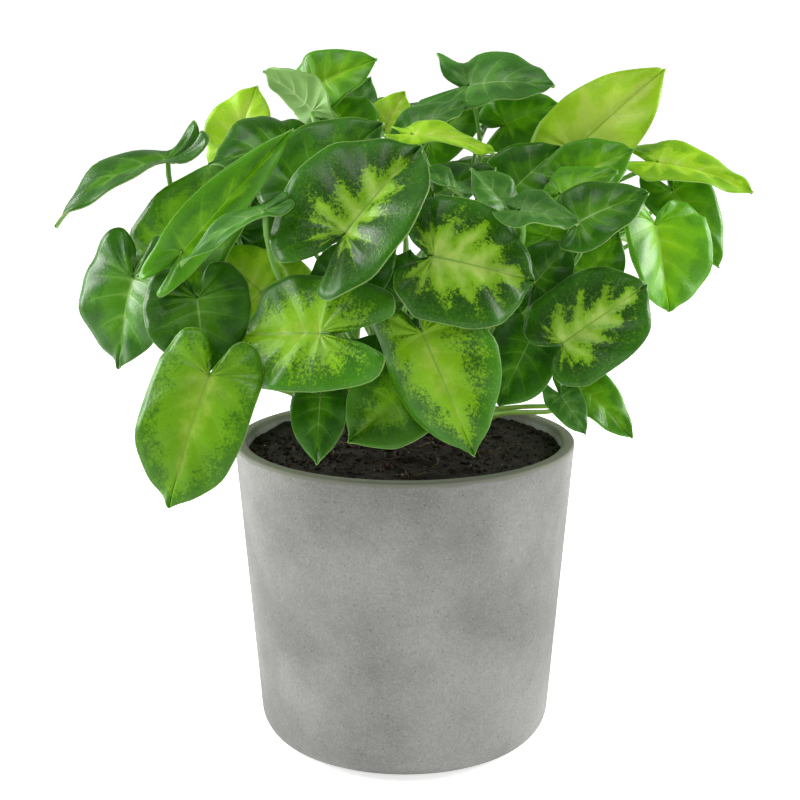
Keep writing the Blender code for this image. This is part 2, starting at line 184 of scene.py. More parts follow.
SHOOTS = {
    "front": (-6, -18, (
        Leaf("low_left_dark", (-32, -64, 160), (-33, -74, 136), 22, (-0.1, -0.95, 0.2), "veined", 0.1,
             lobe=0.3),
        Leaf("low_centre_olive", (-1, -72, 162), (-21, -80, 146), 34, (0, -0.9, 0.4), "olive", 0.1,
             lobe=0.55, lean=0.1),
        Leaf("front_left_star", (-31, -78, 187), (-63, -52, 180), 46, (0.1, -0.9, 0.45), "speckled", 0.27,
             lobe=0.72, full=0.5, arch=25, cup=(10, 10), lean=0.1),
        Leaf("front_centre_drip", (6, -86, 189), (25, -90, 144), 48, (0.1, -0.95, 0.25), "speckled", 0.26,
             lobe=0.36, arch=26, cup=(10, -15), curl=(10, 62), lift=(0, 10), waist=(0.3, 0.2), bow=(0, 8)),
        Leaf("centre_behind_dark", (-25, -30, 197), (-3, -26, 211), 28, FRONT, "veined", 0.2, lobe=0.4,
             lean=0.6),
        Leaf("front_right_round", (10, -80, 216), (47, -72, 205), 49, (0, -0.85, 0.5), "bold", 0.42,
             lobe=0.33, full=0.8, arch=20, cup=(8, 8), lean=0.1),
        Leaf("centre_variegated", (-22, -70, 223), (6, -58, 253), 61, (-0.1, -0.85, 0.5), "bold", 0.24,
             lobe=0.55, full=0.2, arch=25, cup=(5, 45), lean=0.1),
        Leaf("centre_right_grey_low", (42, -68, 231), (63, -72, 226), 22, UP_AND_FRONT, "sheen", 0.25,
             lobe=0.4),
        Leaf("upper_centre_dark", (-39, -42, 235), (-8, -40, 260), 40, (0, -0.8, 0.6), "veined", 0.3,
             lobe=0.4, bow=(0, 8), lean=0.1),
        Leaf("upper_lime_fold", (3, -32, 255), (34, -38, 248), 20, (0, -0.3, 0.95), "lime", 0.4, lobe=0.3,
             lean=1.2),
    )),
    "right": (27, -9, (
        Leaf("low_right_grey", (60, -50, 157), (69, -55, 143), 14, FRONT, "sheen", 0.2, lobe=0.4),
        Leaf("low_right_bright", (69, -40, 158), (88, -46, 139), 20, (0.3, -0.8, 0.5), "bright", 0.3,
             lobe=0.4),
        Leaf("right_dark_folded", (48, -40, 176), (36, -52, 153), 29, (0, -0.8, 0.6), "veined", 0.1,
             lobe=0.3, full=0.5, lean=0.1),
        Leaf("right_front_dark", (59, -62, 180), (91, -55, 201), 38, (0.2, -0.85, 0.45), "bold", 0.32,
             lobe=0.25, full=0.9, arch=20, bow=(8, 8)),
        Leaf("right_centre_small", (72, -22, 198), (84, -20, 216), 24, FRONT, "soft", 0.3, lobe=0.4),
        Leaf("behind_front_right", (49, -48, 200), (63, -46, 216), 24, FRONT, "veined", 0.1, lobe=0.4),
        Leaf("right_hanging_bright", (97, -28, 220), (102, -36, 187), 44, (0.25, -0.9, 0.2), "bright", 0.45,
             lobe=0.25, full=0.6, cup=(5, 45), lean=0.1),
        Leaf("right_dark_veined", (65, -50, 224), (92, -45, 234), 27, (0.1, -0.7, 0.7), "veined", 0.3,
             lobe=0.35),
        Leaf("right_bright_lower", (60, -28, 232), (82, -28, 240), 22, UP_AND_FRONT, "bright", 0.3,
             lobe=0.35),
        Leaf("right_bright_upper", (66, -12, 236), (90, -10, 247), 26, FRONT, "bright", 0.3, lobe=0.35),
    )),
    "left": (-31, -13, (
        Leaf("lower_left_hanging", (-73, -72, 170), (-88, -80, 121), 44, (-0.2, -0.9, 0.35), "olive", 0.42,
             lobe=0.3, full=0.5, cup=(12, 5), lean=0.1),
        Leaf("left_bright_strip", (-61, -46, 182), (-67, -50, 161), 16, FRONT, "bright", 0.2, lobe=0.35,
             lean=0.1),
        Leaf("left_centre_yellow", (-57, -20, 192), (-76, -18, 209), 28, FRONT, "lime", 0.4, lobe=0.4),
        Leaf("left_dark_veined", (-79, -50, 195), (-75, -58, 167), 42, (-0.1, -0.9, 0.4), "veined", 0.3,
             lobe=0.43, arch=20, lean=0.1),
        Leaf("far_left_lower", (-107, -22, 198), (-113, -24, 162), 48, (-0.4, -0.85, 0.35), "veined", 0.3,
             lobe=0.5, cup=(25, 5), lean=0.1),
        Leaf("left_big_pale", (-92, -20, 204), (-57, -16, 245), 46, (-0.3, -0.8, 0.5), "soft", 0.4,
             lobe=0.28, arch=20, lean=0.1),
        Leaf("left_bright_folded", (-84, -50, 213), (-42, -42, 258), 22, (0.3, -0.7, 0.7), "bright", 0.1,
             lobe=0.3, arch=15, cup=(30, 30), waist=(0.1, 0.1), lean=1.2),
        Leaf("left_long_narrow", (-52, -64, 230), (-83, -68, 210), 14, (0.3, -0.2, 0.95), "sheen", 0.2,
             lobe=0.3),
    )),
    "back_left": (-24, 22, (
        Leaf("back_left_low", (-60, 52, 180), (-92, 92, 148), 50, (-0.4, 0.6, 0.6), "bold", 0.45),
        Leaf("back_left_high", (-45, 42, 232), (-88, 82, 220), 50, (-0.3, 0.5, 0.8), "bright", 0.3,
             lean=0.6),
        Leaf("far_left_drooping", (-95, 0, 242), (-139, -10, 216), 32, (-0.35, -0.3, 0.9), "veined", 0.15,
             lobe=0.4, arch=50, lift=(70, 70), waist=(0.3, 0.3)),
        Leaf("upper_left_lime", (-69, 20, 245), (-60, 26, 269), 32, (-0.3, -0.8, 0.5), "lime", 0.6, lobe=0.4,
             waist=(0.15, 0), bow=(8, 0), lean=0.6),
        Leaf("top_grey_green", (-23, 32, 253), (-14, 36, 272), 20, FRONT, "sheen", 0.2, lobe=0.4,
             bow=(8, 0)),
        Leaf("back_centre_high", (-4, 54, 258), (-12, 102, 240), 42, (0, 0.6, 0.8), "bold", 0.55),
    )),
    "centre": (-3, 2, (
        Leaf("back_centre_low", (2, 62, 190), (8, 110, 156), 50, (0, 0.7, 0.6), "speckled", 0.4),
        Leaf("mid_left_dark", (-55, -2, 212), (-69, 2, 232), 34, FRONT, "veined", 0.2, lobe=0.35,
             bow=(0, 8)),
        Leaf("centre_right_grey", (37, -54, 230), (24, -50, 244), 20, UP_AND_FRONT, "sheen", 0.25, lobe=0.4),
        Leaf("centre_small_dark", (11, -30, 231), (35, -28, 241), 28, UP_AND_FRONT, "veined", 0.2, lobe=0.4),
        Leaf("top_mid_behind", (10, 30, 247), (34, 36, 263), 26, FRONT, "bright", 0.2, lobe=0.35),
        Leaf("upper_left_glossy", (-45, -14, 248), (-76, -22, 242), 38, (-0.2, -0.6, 0.8), "veined", 0.15,
             lobe=0.3),
        Leaf("top_grey_fold", (2, 0, 252), (25, 5, 264), 22, UP_AND_FRONT, "sheen", 0.2, lobe=0.35),
        Leaf("top_small_lime", (-8, 20, 253), (0, 24, 267), 18, FRONT, "lime", 0.5, lobe=0.35, bow=(16, 8),
             lean=0.6),
        Leaf("top_left_underside", (-36, -8, 262), (-56, -2, 277), 26, (0, 0.7, 0.7), "sheen", 0.2, lobe=0.4,
             lean=1.2),
        Leaf("top_bright", (-36, 10, 270), (-11, 6, 281), 28, (0, -0.8, 0.6), "bright", 0.45, lobe=0.4),
    )),
    "back_right": (24, 22, (
        Leaf("back_right_low", (60, 56, 184), (92, 92, 150), 50, (0.4, 0.6, 0.6), "veined", 0.3),
        Leaf("right_hanging_behind", (108, 4, 229), (126, -4, 199), 28, (0.3, -0.85, 0.3), "bright", 0.3,
             lobe=0.35, lean=0.1),
        Leaf("right_centre_dark", (43, -2, 230), (62, 2, 247), 30, FRONT, "veined", 0.2, lobe=0.4),
        Leaf("back_right_high", (42, 48, 236), (82, 94, 222), 50, (0.2, 0.5, 0.85), "bold", 0.5),
        Leaf("far_right_pale", (101, 0, 241), (139, -5, 229), 26, (0.25, -0.5, 0.8), "lime", 0.2, lobe=0.35,
             bow=(0, 16), lean=1.2),
        Leaf("right_top_lime", (68, 8, 245), (105, 14, 277), 36, (0.2, -0.8, 0.55), "lime", 0.8, lobe=0.35),
        Leaf("below_top_right", (41, 22, 254), (63, 24, 262), 26, FRONT, "bright", 0.2, lobe=0.4, lean=1.2),
        Leaf("top_right_centre", (26, 20, 270), (60, 10, 270), 36, (0.1, -0.6, 0.8), "sheen", 0.2, lobe=0.55,
             lift=(85, 0), waist=(0.2, 0), bow=(-8, 0)),
    )),
}

# More leaves of the same shoots, inside the plant and at its back, finer than the CAD model goes.
INNER_LEAVES = {
    "front": (
        Leaf("inner_low_dark", (-7, -40, 163), (-21, -36, 176), 28, FRONT, "veined", 0.15),
        Leaf("inner_upper_curl", (19, -48, 235), (3, -50, 243), 20, UP_AND_FRONT, "sheen", 0.2, cup=(40, 10),
             lean=0.6),
    ),
    "right": (
        Leaf("inner_right_low", (46, -20, 177), (62, -16, 188), 34, FRONT, "veined", 0.15, lean=0.6),
        Leaf("inner_right_mid", (57, -12, 213), (64, -8, 233), 32, FRONT, "bright", 0.2, lean=1.2),
    ),
    "left": (
        Leaf("inner_left_lime", (-42, -10, 190), (-56, -8, 207), 18, FRONT, "lime", 0.4, bow=(-8, 8)),
        Leaf("inner_left_mid", (-67, -12, 215), (-72, -8, 229), 26, FRONT, "veined", 0.2, lean=1.2),
    ),
    "back_left": (
        Leaf("back_low_left", (-30, 60, 172), (-40, 98, 142), 36, (-0.2, 0.8, 0.5), "veined", 0.2),
        Leaf("back_left_mid", (-68, 30, 206), (-112, 56, 190), 44, (-0.6, 0.4, 0.7), "bold", 0.45, lean=1.2),
        Leaf("back_mid_left", (-28, 58, 214), (-46, 104, 196), 46, (-0.2, 0.7, 0.7), "veined", 0.3),
        Leaf("back_top_left", (-36, 44, 250), (-56, 82, 243), 36, (-0.2, 0.3, 0.95), "bright", 0.3,
             bow=(-16, 0), lean=1.2),
    ),
    "centre": (
        Leaf("inner_centre_dark", (-1, -22, 188), (2, -20, 209), 30, FRONT, "veined", 0.15, lean=0.6),
        Leaf("back_inner", (0, 24, 222), (4, 56, 206), 36, (0, 0.6, 0.8), "veined", 0.2),
        Leaf("inner_upper_left", (-40, 0, 232), (-55, 4, 256), 30, FRONT, "veined", 0.2, bow=(-8, 8)),
        Leaf("inner_top_mid", (-24, 10, 253), (-30, 14, 266), 30, FRONT, "bright", 0.2, lean=1.2),
    ),
    "back_right": (
        Leaf("back_low_right", (34, 60, 172), (46, 98, 144), 36, (0.2, 0.8, 0.5), "bright", 0.3),
        Leaf("back_right_mid", (70, 30, 208), (116, 54, 192), 44, (0.6, 0.4, 0.7), "soft", 0.4),
        Leaf("back_mid_right", (30, 58, 216), (48, 104, 198), 46, (0.2, 0.7, 0.7), "speckled", 0.5),
        Leaf("back_top_right", (34, 44, 252), (50, 84, 244), 36, (0.2, 0.3, 0.95), "veined", 0.25, lean=1.2),
    ),
}

# The colours of a blade's upper side: its margin beside the light centre and at the rim, the outer and
# the inner part of that centre, the side veins and the midrib. Then how far the centre runs out along
# the side veins, how wide and how grainy its border is, how many light dots the margin has, how clear
# the side veins are, and how rough the wax is.
Colouring = namedtuple(
    "Colouring", "dark margin middle centre vein rib feather spray grit sprinkle veins roughness"
)
COLOURINGS = {
    "bold": Colouring(
        "#173F05", "#265A0A", "#709C2A", "#9CB65C", "#88AC48", "#65903A",
        0.25, 0.36, 11.0, 0.5, 0.2, 0.36),
    "speckled": Colouring(
        "#205006", "#36700C", "#719F26", "#94AE48", "#84A840", "#65903A",
        0.1, 0.85, 11.0, 0.8, 0.15, 0.38),
    "olive": Colouring(
        "#265608", "#386A0C", "#5C8A1E", "#7E9C38", "#7C9C44", "#6C9038",
        0.1, 0.9, 9.0, 0.8, 0.2, 0.38),
    "soft": Colouring(
        "#2A5C06", "#386E0A", "#5C921A", "#86B03A", "#90B452", "#86B046",
        0.15, 0.7, 5.0, 0.2, 0.3, 0.36),
    "veined": Colouring(
        "#1E4E06", "#2C5E08", "#3F7216", "#5C8C30", "#7CA254", "#8AAE62",
        0.15, 0.7, 2.5, 0.1, 0.35, 0.34),
    "bright": Colouring(
        "#3A7406", "#48880A", "#5E9A14", "#7CAE2A", "#92BC56", "#96C05A",
        0.2, 0.7, 2.5, 0.1, 0.3, 0.36),
    "lime": Colouring(
        "#649810", "#7CAC1C", "#94BE34", "#ACC852", "#B8D47C", "#729C32",
        0.25, 0.8, 5.0, 0.3, 0.3, 0.42),
    # The sheen colouring paints the soft whitish sheen of these glossy leaves into greyed greens: painted
    # reflection.
    "sheen": Colouring(
        "#2F6119", "#3D7025", "#4F7F33", "#678E49", "#8CAC70", "#98B680",
        0.15, 0.7, 2.0, 0.05, 0.4, 0.4),
}


def linear(hex_colour):
    """An sRGB hex colour as linear RGBA."""
    values = (int(hex_colour[i:i + 2], 16) / 255 for i in (1, 3, 5))
    return (*(v / 12.92 if v <= 0.04045 else ((v + 0.055) / 1.055) ** 2.4 for v in values), 1)


def add_node(tree, kind, inputs=None, output=0, **settings):
    """Add a shader node, make its settings, set or link its inputs, and return one of its outputs.

    An input or output is given by its name or its place in the node, and a colour may be given as hex.
    """
    made = tree.nodes.new(f"ShaderNode{kind}")
    for name, value in settings.items():
        setattr(made, name, value)
    for key, value in (inputs or {}).items():
        if isinstance(value, bpy.types.NodeSocket):
            tree.links.new(value, made.inputs[key])
        else:
            made.inputs[key].default_value = linear(value) if isinstance(value, str) else value
    return made.outputs[output]


# Settings for the nodes that are used most. A Math node's values have the places 0 to 2. A MapRange has
# its value at 0, the range that it comes from at 1 and 2, and the one that it goes to at 3 and 4. A Mix
# has its factor at 0 and its colours at 6 and 7.
TIMES = {"operation": "MULTIPLY"}
PLUS = {"operation": "ADD"}
MINUS = {"operation": "SUBTRACT"}
TIMES_PLUS = {"operation": "MULTIPLY_ADD"}
FOLD = {"operation": "PINGPONG"}
STEP = {"interpolation_type": "SMOOTHSTEP"}
BLEND = {"output": 2, "data_type": "RGBA"}


def new_material(name, **shader_inputs):
    """A material with only its Principled shader and output; returns it, its shader and a node adder."""
    material = bpy.data.materials.new(name)
    material.use_nodes = True
    shader = material.node_tree.nodes["Principled BSDF"]
    for key, value in shader_inputs.items():
        shader.inputs[key.replace("_", " ")].default_value = value
    return material, shader, partial(add_node, material.node_tree)


def connect(shader, **sockets):
    for key, socket in sockets.items():
        shader.id_data.links.new(socket, shader.inputs[key.replace("_", " ")])


def noise_inputs(place, per_mm, detail=3.0, roughness=0.5):
    """Inputs for noise whose coarsest cells are about 1 / per_mm millimetres across."""
    return {"Vector": place, "Scale": per_mm / MM, "Detail": detail, "Roughness": roughness}


def blade_place(node):
    """Where a point lies on its blade: its share of the outline, and its reach from midrib to edge."""
    along_and_across = node("UVMap", uv_map="veins")
    share = node("SeparateXYZ", {0: along_and_across})
    across = node("SeparateXYZ", {0: along_and_across}, 1)
    return share, node("Math", {0: across}, operation="ABSOLUTE")


def from_side_vein(node, share):
    """0 on the side veins, rising to 0.5 halfway between two of them."""
    return node("Math", {0: node("Math", {0: share, 1: SIDE_VEINS}, **TIMES), 1: 0.5}, **FOLD)


def side_veins(node, share, reach):
    """1 on the side veins, which thin out towards the edge, and 0 between them."""
    wider = node("Math", {0: reach, 1: 0.3}, **PLUS)
    across = node("Math", {0: from_side_vein(node, share), 1: wider}, **TIMES)
    lines = node("MapRange", {0: across, 1: 0.05, 2: 0.012}, **STEP)
    fading = node("Math", {0: 1.0, 1: reach}, use_clamp=True, **MINUS)
    return node("Math", {0: lines, 1: fading}, **TIMES)


def depth_in_centre(node, look, share, reach, place):
    """How far inside the light centre a point lies, as a share of the half width; below 0 outside it.

    The centre reaches further along the side veins and wanders with the leaf's growth.
    """
    pale = node("Attribute", output=2, attribute_name="pale")
    finger = node("MapRange", {0: from_side_vein(node, share), 1: 0.4, 2: 0.0, 4: look.feather}, **STEP)
    blotch = node("TexNoise", noise_inputs(place, 0.13, 4.0, 0.65))
    wander = node("Math", {0: blotch, 1: 1.1, 2: -0.6}, **TIMES_PLUS)
    limit = node("Math", {0: node("Math", {0: pale, 1: finger}, **PLUS), 1: wander}, **PLUS)
    return node("Math", {0: limit, 1: reach}, **MINUS)


def variegation(node, look, reach, depth, cells):
    """The blade's colour before its veins are drawn."""
    # The border of the light centre is a spray of light and dark cells.
    ramp = node("MapRange", {0: depth, 1: -look.spray, 2: 0.2}, **STEP)
    spray = node("Math", {0: cells, 1: look.grit, 2: -look.grit / 2}, **TIMES_PLUS)
    unsure = node("Math", {0: ramp, 1: node("Math", {0: 1.0, 1: ramp}, **MINUS)}, **TIMES)
    mixed = node("Math", {0: unsure, 1: spray, 2: ramp}, **TIMES_PLUS)
    centre = node("MapRange", {0: mixed, 1: 0.15, 2: 0.85}, **STEP)

    # The margin is darkest beside the centre, lighter at the rim, and sprinkled with lighter cells.
    outer = node("MapRange", {0: reach, 1: 0.55, 2: 1.0}, **STEP)
    margin = node("Mix", {0: outer, 6: look.dark, 7: look.margin}, **BLEND)
    sprinkle = node("MapRange", {0: cells, 1: 0.53, 2: 0.66, 4: look.sprinkle}, **STEP)
    near = node("MapRange", {0: depth, 1: -0.9, 2: -0.1}, **STEP)
    dots = node("Math", {0: sprinkle, 1: near}, **TIMES)
    margin = node("Mix", {0: dots, 6: margin, 7: look.middle}, **BLEND)

    deep = node("MapRange", {0: depth, 1: 0.0, 2: 0.5}, **STEP)
    inner = node("Mix", {0: deep, 6: look.middle, 7: look.centre}, **BLEND)
    return node("Mix", {0: centre, 6: margin, 7: inner}, **BLEND)


def leaf_material(name, look):
    """Living leaf skin, waxy above. The thin wax gives a soft gloss, and the light goes a little way in."""
    material, shader, node = new_material(
        name, IOR=1.38, Specular_IOR_Level=0.3, Subsurface_Weight=0.1, Subsurface_Scale=0.001
    )
    shader.inputs["Subsurface Radius"].default_value = (0.5, 1.0, 0.12)
    share, reach = blade_place(node)
    place = node("TexCoord", output=3)
    # Cells of the skin, from 1.2 mm down to 0.15 mm across: coarser than real ones, so that they show.
    cells = node("TexNoise", noise_inputs(place, 0.85, 3.0, 0.85))
    depth = depth_in_centre(node, look, share, reach, place)
    colour = variegation(node, look, reach, depth, cells)

    # Side veins, between them a fine net with meshes 2 mm wide, and the midrib.
    veins = side_veins(node, share, reach)
    drawn = node("Math", {0: veins, 1: look.veins}, **TIMES)
    colour = node("Mix", {0: drawn, 6: colour, 7: look.vein}, **BLEND)
    mesh = node("TexVoronoi", {"Vector": place, "Scale": 0.5 / MM}, feature="DISTANCE_TO_EDGE")
    net = node("MapRange", {0: mesh, 1: 0.14, 2: 0.0}, **STEP)
    faint = node("Math", {0: net, 1: 0.06}, **TIMES)
    colour = node("Mix", {0: faint, 6: colour, 7: look.vein}, **BLEND)
    midrib = node("MapRange", {0: reach, 1: 0.030, 2: 0.010, 4: 0.7}, **STEP)
    colour = node("Mix", {0: midrib, 6: colour, 7: look.rib}, **BLEND)

    # Uneven growth: broad light and dark patches, a shade of the leaf's own, and a thin pale rim.
    patch = node("Math", {0: node("TexNoise", noise_inputs(place, 0.05)), 1: 0.8, 2: 0.48}, **TIMES_PLUS)
    tone = node("Attribute", output=2, attribute_name="tone")
    value = node("Math", {0: patch, 1: tone}, **PLUS)
    colour = node("HueSaturation", {"Saturation": 1.06, "Value": value, "Color": colour})
    rim = node("MapRange", {0: reach, 1: 0.982, 2: 0.998, 4: 0.3}, **STEP)
    colour = node("Mix", {0: rim, 6: colour, 7: "#A9C878"}, **BLEND)

    # Veins and net lie a little lower than the cells of the skin.
    rough = node("Math", {0: cells, 1: 0.14, 2: look.roughness - 0.07}, **TIMES_PLUS)
    fold = node("Math", {0: veins, 1: -0.8, 2: node("Math", {0: net, 1: -0.25}, **TIMES)}, **TIMES_PLUS)
    height = node("Math", {0: cells, 1: 0.25, 2: fold}, **TIMES_PLUS)
    bump = node("Bump", {"Height": height, "Strength": 0.35, "Distance": 0.3 * MM})
    connect(shader, Base_Color=colour, Roughness=rough, Normal=bump)
    return material


def underside_material(green):
    """The leaf's underside has no wax: it is paler, greyer and matt, with raised veins."""
    material, shader, node = new_material(
        "Matt leaf underside", Roughness=0.6, IOR=1.4, Subsurface_Weight=0.15, Subsurface_Scale=0.0015
    )
    share, reach = blade_place(node)
    midrib = node("MapRange", {0: reach, 1: 0.05, 2: 0.015}, **STEP)
    raised = node("Math", {0: side_veins(node, share, reach), 1: midrib}, operation="MAXIMUM")
    patch = node("TexNoise", noise_inputs(node("TexCoord", output=3), 0.08))
    colour = node("Mix", {0: patch, 6: green, 7: "#86B25E"}, **BLEND)
    drawn = node("Math", {0: raised, 1: 0.6}, **TIMES)
    colour = node("Mix", {0: drawn, 6: colour, 7: "#ACCB86"}, **BLEND)
    bump = node("Bump", {"Height": raised, "Strength": 0.5, "Distance": 0.4 * MM})
    connect(shader, Base_Color=colour, Normal=bump)
    return material


def stalk_material(colours):
    """Soft green stalk with a smooth, faintly streaked skin, and old brown sheaths at its foot."""
    material, shader, node = new_material(
        "Smooth green stalk", Roughness=0.4, IOR=1.42, Subsurface_Weight=0.15, Subsurface_Scale=0.002
    )
    place = node("TexCoord", output=3)
    height = node("SeparateXYZ", {0: place}, 2)
    # Paler low down, with upright streaks; the ragged sheaths end 3 to 15 mm above the soil.
    rise = node("MapRange", {0: height, 1: (SOIL_TOP + 10) * MM, 2: (SOIL_TOP + 75) * MM}, **STEP)
    stretched = node("Mapping", {0: place, 3: (1, 1, 0.08)})
    streak = node("TexNoise", noise_inputs(stretched, 1.2))
    colour = node("Mix", {0: rise, 6: "#88A848", 7: colours.stalk}, **BLEND)
    share = node("Math", {0: streak, 1: 0.5}, **TIMES)
    colour = node("Mix", {0: share, 6: colour, 7: "#43781E"}, **BLEND)
    ragged = node("Math", {0: streak, 1: 12 * MM, 2: height}, **TIMES_PLUS)
    foot = node("MapRange", {0: ragged, 1: (SOIL_TOP + 21) * MM, 2: (SOIL_TOP + 9) * MM}, **STEP)
    colour = node("Mix", {0: foot, 6: colour, 7: colours.sheath}, **BLEND)
    bump = node("Bump", {"Height": streak, "Strength": 0.2, "Distance": 0.2 * MM})
    connect(shader, Base_Color=colour, Normal=bump)
    return material


def concrete_material(colours):
    """Cast fine concrete, sanded smooth: grey mottling from drying, fine sand grain and small air pits."""
    material, shader, node = new_material("Sanded cast concrete", IOR=1.5, Specular_IOR_Level=0.3)
    place = node("TexCoord", output=3)
    height = node("SeparateXYZ", {0: place}, 2)
    cloud = node("TexNoise", noise_inputs(place, 0.022, 5.0, 0.6))
    cloud = node("MapRange", {0: cloud, 1: 0.34, 2: 0.66}, **STEP)
    colour = node("Mix", {0: cloud, 6: colours.pot_dark, 7: colours.pot_light}, **BLEND)
    stain = node("TexNoise", noise_inputs(place, 0.09, 5.0, 0.65))
    stain = node("MapRange", {0: stain, 1: 0.4, 2: 0.72, 4: 0.3}, **STEP)
    colour = node("Mix", {0: stain, 6: colour, 7: "#6A6966"}, **BLEND)
    grain = node("TexNoise", noise_inputs(place, 1.1, 3.0, 0.75))
    light_grain = node("MapRange", {0: grain, 1: 0.5, 2: 0.68, 4: 0.22}, **STEP)
    colour = node("Mix", {0: light_grain, 6: colour, 7: "#A9A8A4"}, **BLEND)
    dark_grain = node("MapRange", {0: grain, 1: 0.46, 2: 0.34, 4: 0.35}, **STEP)
    colour = node("Mix", {0: dark_grain, 6: colour, 7: "#585854"}, **BLEND)
    # Air pits about 3 mm apart and up to 0.9 mm wide, the widest in the darker patches.
    pits = node("TexVoronoi", {"Vector": place, "Scale": 0.33 / MM})
    size = node("MapRange", {0: cloud, 1: 0.0, 2: 1.0, 3: 0.16, 4: 0.1})
    pit = node("MapRange", {0: pits, 1: size, 2: 0.06}, **STEP)
    # The pits are painted darker than the concrete round them: painted shade inside them.
    hollow = node("Math", {0: pit, 1: 0.75}, **TIMES)
    colour = node("Mix", {0: hollow, 6: colour, 7: "#4B4C48"}, **BLEND)
    # Painted shade: the top of the rim and its rounded outer edge are painted darker, down to a ragged
    # border about 1.6 mm below the top, for the shade that the leaves above cast.
    ragged_height = node("Math", {0: stain, 1: 2.5 * MM, 2: height}, **TIMES_PLUS)
    edge = (POT_HEIGHT - 1.6) * MM
    rim_shade_mask = node("MapRange", {0: ragged_height, 1: edge - 0.4 * MM, 2: edge + 0.4 * MM, 4: 0.9}, **STEP)
    colour = node("Mix", {0: rim_shade_mask, 6: colour, 7: colours.pot_rim_shade}, **BLEND)
    rough = node("Math", {0: grain, 1: 0.15, 2: 0.7}, **TIMES_PLUS)
    relief = node("Math", {0: pit, 1: -1.5, 2: node("Math", {0: grain, 1: 0.6}, **TIMES)}, **TIMES_PLUS)
    bump = node("Bump", {"Height": relief, "Strength": 0.4, "Distance": 0.3 * MM})
    connect(shader, Base_Color=colour, Roughness=rough, Normal=bump)
    return material


def mottled_material(name, low, high, per_mm, roughness, relief):
    """Two close shades in a noise, with relief in millimetres: for soil and the small things on it."""
    material, shader, node = new_material(name, Roughness=roughness, Specular_IOR_Level=0.2)
    mottle = node("TexNoise", noise_inputs(node("TexCoord", output=3), per_mm, 5.0, 0.7))
    share = node("MapRange", {0: mottle, 1: 0.35, 2: 0.7}, **STEP)
    colour = node("Mix", {0: share, 6: low, 7: high}, **BLEND)
    bump = node("Bump", {"Height": mottle, "Strength": 0.8, "Distance": relief * MM})
    connect(shader, Base_Color=colour, Normal=bump)
    return material


def new_object(name, bm, materials, smooth=True):
    """A mesh object at the origin with these materials."""
    mesh = bpy.data.meshes.new(name)
    bm.to_mesh(mesh)
    bm.free()
    if smooth:
        mesh.shade_smooth()
    for material in materials:
        mesh.materials.append(material)
    obj = bpy.data.objects.new(name, mesh)
    bpy.context.scene.collection.objects.link(obj)
    return obj


def place_piece(obj, slot, *nodes):
    """Let the piece ride on the object's one body, in place of these CAD nodes if there are any."""
    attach(obj, "root")
    if nodes:
        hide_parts(*nodes)


def arc_end(length, start, bend):
    """Run and rise of an arc of that length, which sets out at slope start and turns down by bend."""
    if abs(length) < 1e-9 or abs(bend) < 1e-4:
        return length * cos(start), length * sin(start)
    turn = bend / length
    return (sin(start) - sin(start - bend)) / turn, (cos(start - bend) - cos(start)) / turn


def outline_at(share):
    """A point of the smooth curve through the outline's points."""
    last = len(OUTLINE) - 1
    place = share * last
    first = min(int(place), last - 1)
    f = place - first
    before, a, b, after = (Vector(OUTLINE[max(0, min(last, first + k))]) for k in (-1, 0, 1, 2))
    return 0.5 * (
        2 * a + (b - before) * f + (2 * before - 5 * a + 4 * b - after) * f**2
        + (3 * a - before - 3 * b + after) * f**3
    )


